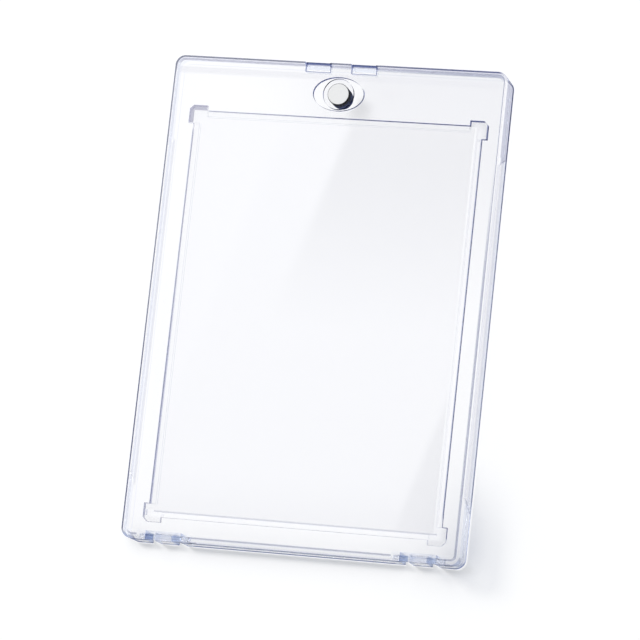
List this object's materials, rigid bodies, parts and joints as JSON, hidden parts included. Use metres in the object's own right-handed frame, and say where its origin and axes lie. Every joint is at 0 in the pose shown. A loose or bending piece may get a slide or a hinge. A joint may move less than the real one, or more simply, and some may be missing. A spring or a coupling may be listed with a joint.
{
  "type": "trading card display case",
  "caption": "Clear two-shell case for one trading card, hinged along its lower edge, with a pocket for the card, raised lips and a magnetic catch near the top.",
  "frame": {"origin": "under the centre of the closed case, on the plane of the rear lip that the case lies on", "axes": "+X across the card to its right, +Y up the card from the hinges to the magnets, +Z out of the front cover"},
  "size_m": [0.0742, 0.1068, 0.0084],
  "materials": {
    "clear_plastic": "clear polished",
    "plated_magnet": "satin nickel plate"
  },
  "bodies": {
    "back": {"rear_shell": "clear_plastic", "rear_magnet": "plated_magnet"},
    "cover": {"front_cover": "clear_plastic", "front_magnet": "plated_magnet", "left_hinge_pin": "clear_plastic", "right_hinge_pin": "clear_plastic"}
  },
  "joints": [
    {"name": "cover_hinge", "type": "hinge", "parent": "back", "child": "cover", "pos_m": [0, -0.05245, 0.00515], "axis": [1, 0, 0], "range_deg": [0, 95]}
  ]
}
